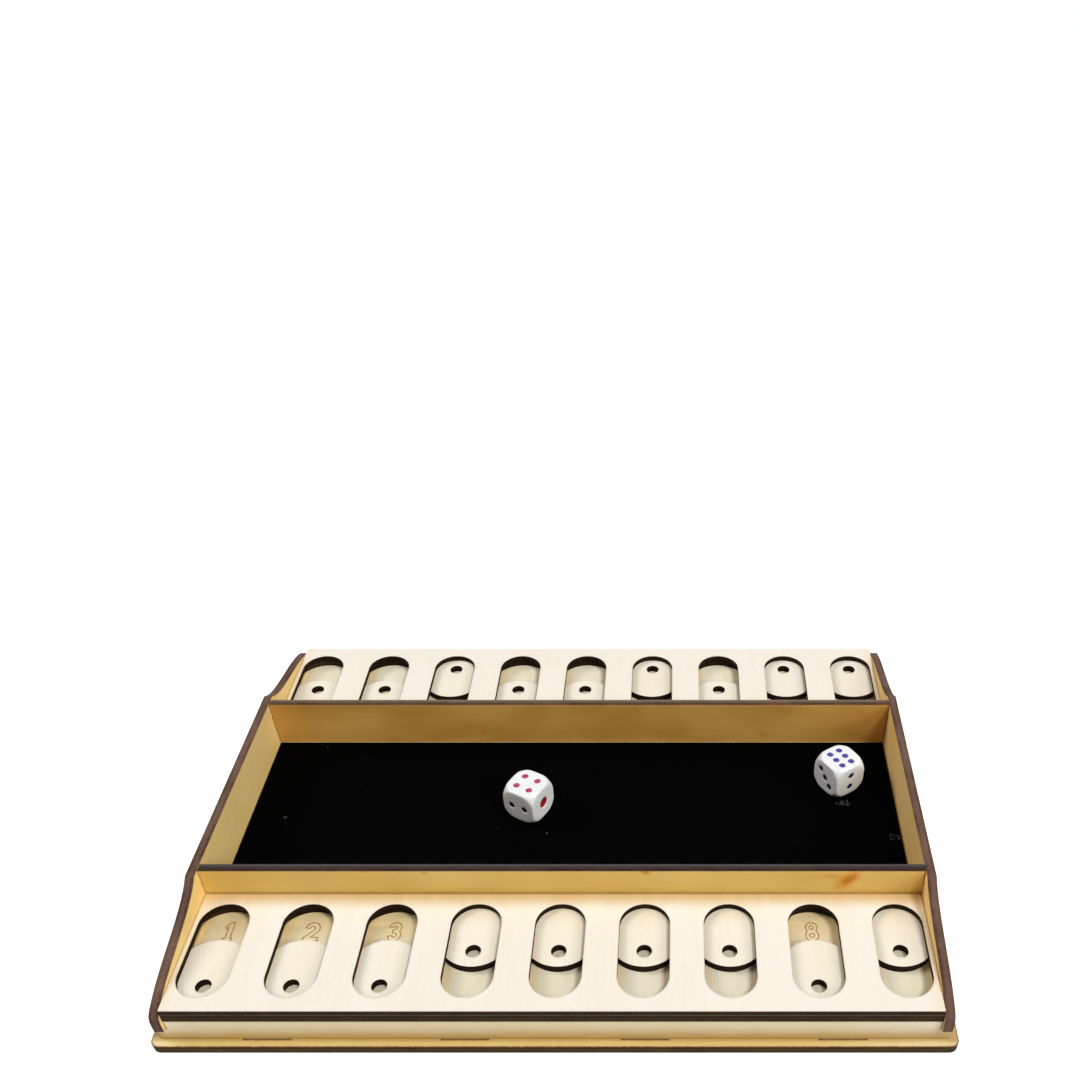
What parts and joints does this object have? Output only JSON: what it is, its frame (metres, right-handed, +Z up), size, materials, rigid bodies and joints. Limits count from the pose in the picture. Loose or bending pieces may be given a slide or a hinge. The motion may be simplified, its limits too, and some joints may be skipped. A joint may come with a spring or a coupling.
{
  "type": "shut the box game",
  "caption": "Wooden dice game box with a felt tray for dice between two rows of windows, each with a sliding cover over a number, on a wider base.",
  "frame": {"origin": "middle of the base's underside", "axes": "+Z up, +X to the front player's right along the rows of windows, +Y to the rear player"},
  "size_m": [0.2502, 0.187, 0.0284],
  "materials": {
    "pale_plywood": "matt, pale plywood",
    "board_plywood": "matt plywood",
    "wall_plywood": "matt plywood",
    "felt": "black felt",
    "dice_plastic": "glossy white"
  },
  "bodies": {
    "box": {"base_plate": "pale_plywood", "support_strip_1": "board_plywood", "support_strip_2": "board_plywood", "support_strip_3": "board_plywood", "support_strip_4": "board_plywood", "floor_board": "board_plywood", "tray_felt": "felt", "side_wall_left": "wall_plywood", "side_wall_right": "wall_plywood", "front_wall": "wall_plywood", "front_partition": "wall_plywood", "front_number_board": "board_plywood", "front_channel_layer": "pale_plywood", "front_window_panel": "pale_plywood", "rear_wall": "wall_plywood", "rear_partition": "wall_plywood", "rear_number_board": "board_plywood", "rear_channel_layer": "pale_plywood", "rear_window_panel": "pale_plywood"},
    "front_slider_1": {"front_slider_1": "pale_plywood"},
    "front_slider_2": {"front_slider_2": "pale_plywood"},
    "front_slider_3": {"front_slider_3": "pale_plywood"},
    "front_slider_4": {"front_slider_4": "pale_plywood"},
    "front_slider_5": {"front_slider_5": "pale_plywood"},
    "front_slider_6": {"front_slider_6": "pale_plywood"},
    "front_slider_7": {"front_slider_7": "pale_plywood"},
    "front_slider_8": {"front_slider_8": "pale_plywood"},
    "front_slider_9": {"front_slider_9": "pale_plywood"},
    "rear_slider_1": {"rear_slider_1": "pale_plywood"},
    "rear_slider_2": {"rear_slider_2": "pale_plywood"},
    "rear_slider_3": {"rear_slider_3": "pale_plywood"},
    "rear_slider_4": {"rear_slider_4": "pale_plywood"},
    "rear_slider_5": {"rear_slider_5": "pale_plywood"},
    "rear_slider_6": {"rear_slider_6": "pale_plywood"},
    "rear_slider_7": {"rear_slider_7": "pale_plywood"},
    "rear_slider_8": {"rear_slider_8": "pale_plywood"},
    "rear_slider_9": {"rear_slider_9": "pale_plywood"},
    "die_1": {"die_1": "dice_plastic"},
    "die_2": {"die_2": "dice_plastic"}
  },
  "joints": [
    {"name": "front_cover_1", "type": "slide", "parent": "box", "child": "front_slider_1", "axis": [0, -1, 0], "range_m": [-0.0134, 0]},
    {"name": "front_cover_2", "type": "slide", "parent": "box", "child": "front_slider_2", "axis": [0, -1, 0], "range_m": [-0.0134, 0]},
    {"name": "front_cover_3", "type": "slide", "parent": "box", "child": "front_slider_3", "axis": [0, -1, 0], "range_m": [-0.0134, 0]},
    {"name": "front_cover_4", "type": "slide", "parent": "box", "child": "front_slider_4", "axis": [0, -1, 0], "range_m": [0, 0.0134]},
    {"name": "front_cover_5", "type": "slide", "parent": "box", "child": "front_slider_5", "axis": [0, -1, 0], "range_m": [0, 0.0134]},
    {"name": "front_cover_6", "type": "slide", "parent": "box", "child": "front_slider_6", "axis": [0, -1, 0], "range_m": [0, 0.0134]},
    {"name": "front_cover_7", "type": "slide", "parent": "box", "child": "front_slider_7", "axis": [0, -1, 0], "range_m": [0, 0.0134]},
    {"name": "front_cover_8", "type": "slide", "parent": "box", "child": "front_slider_8", "axis": [0, -1, 0], "range_m": [-0.0134, 0]},
    {"name": "front_cover_9", "type": "slide", "parent": "box", "child": "front_slider_9", "axis": [0, -1, 0], "range_m": [0, 0.0134]},
    {"name": "rear_cover_1", "type": "slide", "parent": "box", "child": "rear_slider_1", "axis": [0, 1, 0], "range_m": [-0.0134, 0]},
    {"name": "rear_cover_2", "type": "slide", "parent": "box", "child": "rear_slider_2", "axis": [0, 1, 0], "range_m": [-0.0134, 0]},
    {"name": "rear_cover_3", "type": "slide", "parent": "box", "child": "rear_slider_3", "axis": [0, 1, 0], "range_m": [0, 0.0134]},
    {"name": "rear_cover_4", "type": "slide", "parent": "box", "child": "rear_slider_4", "axis": [0, 1, 0], "range_m": [-0.0134, 0]},
    {"name": "rear_cover_5", "type": "slide", "parent": "box", "child": "rear_slider_5", "axis": [0, 1, 0], "range_m": [0, 0.0134]},
    {"name": "rear_cover_6", "type": "slide", "parent": "box", "child": "rear_slider_6", "axis": [0, 1, 0], "range_m": [0, 0.0134]},
    {"name": "rear_cover_7", "type": "slide", "parent": "box", "child": "rear_slider_7", "axis": [0, 1, 0], "range_m": [-0.0134, 0]},
    {"name": "rear_cover_8", "type": "slide", "parent": "box", "child": "rear_slider_8", "axis": [0, 1, 0], "range_m": [0, 0.0134]},
    {"name": "rear_cover_9", "type": "slide", "parent": "box", "child": "rear_slider_9", "axis": [0, 1, 0], "range_m": [0, 0.0134]},
    {"name": "die_1_lift", "type": "slide", "parent": "box", "child": "die_1", "axis": [0, 0, 1], "range_m": [0, 0.05]},
    {"name": "die_2_lift", "type": "slide", "parent": "box", "child": "die_2", "axis": [0, 0, 1], "range_m": [0, 0.05]}
  ]
}
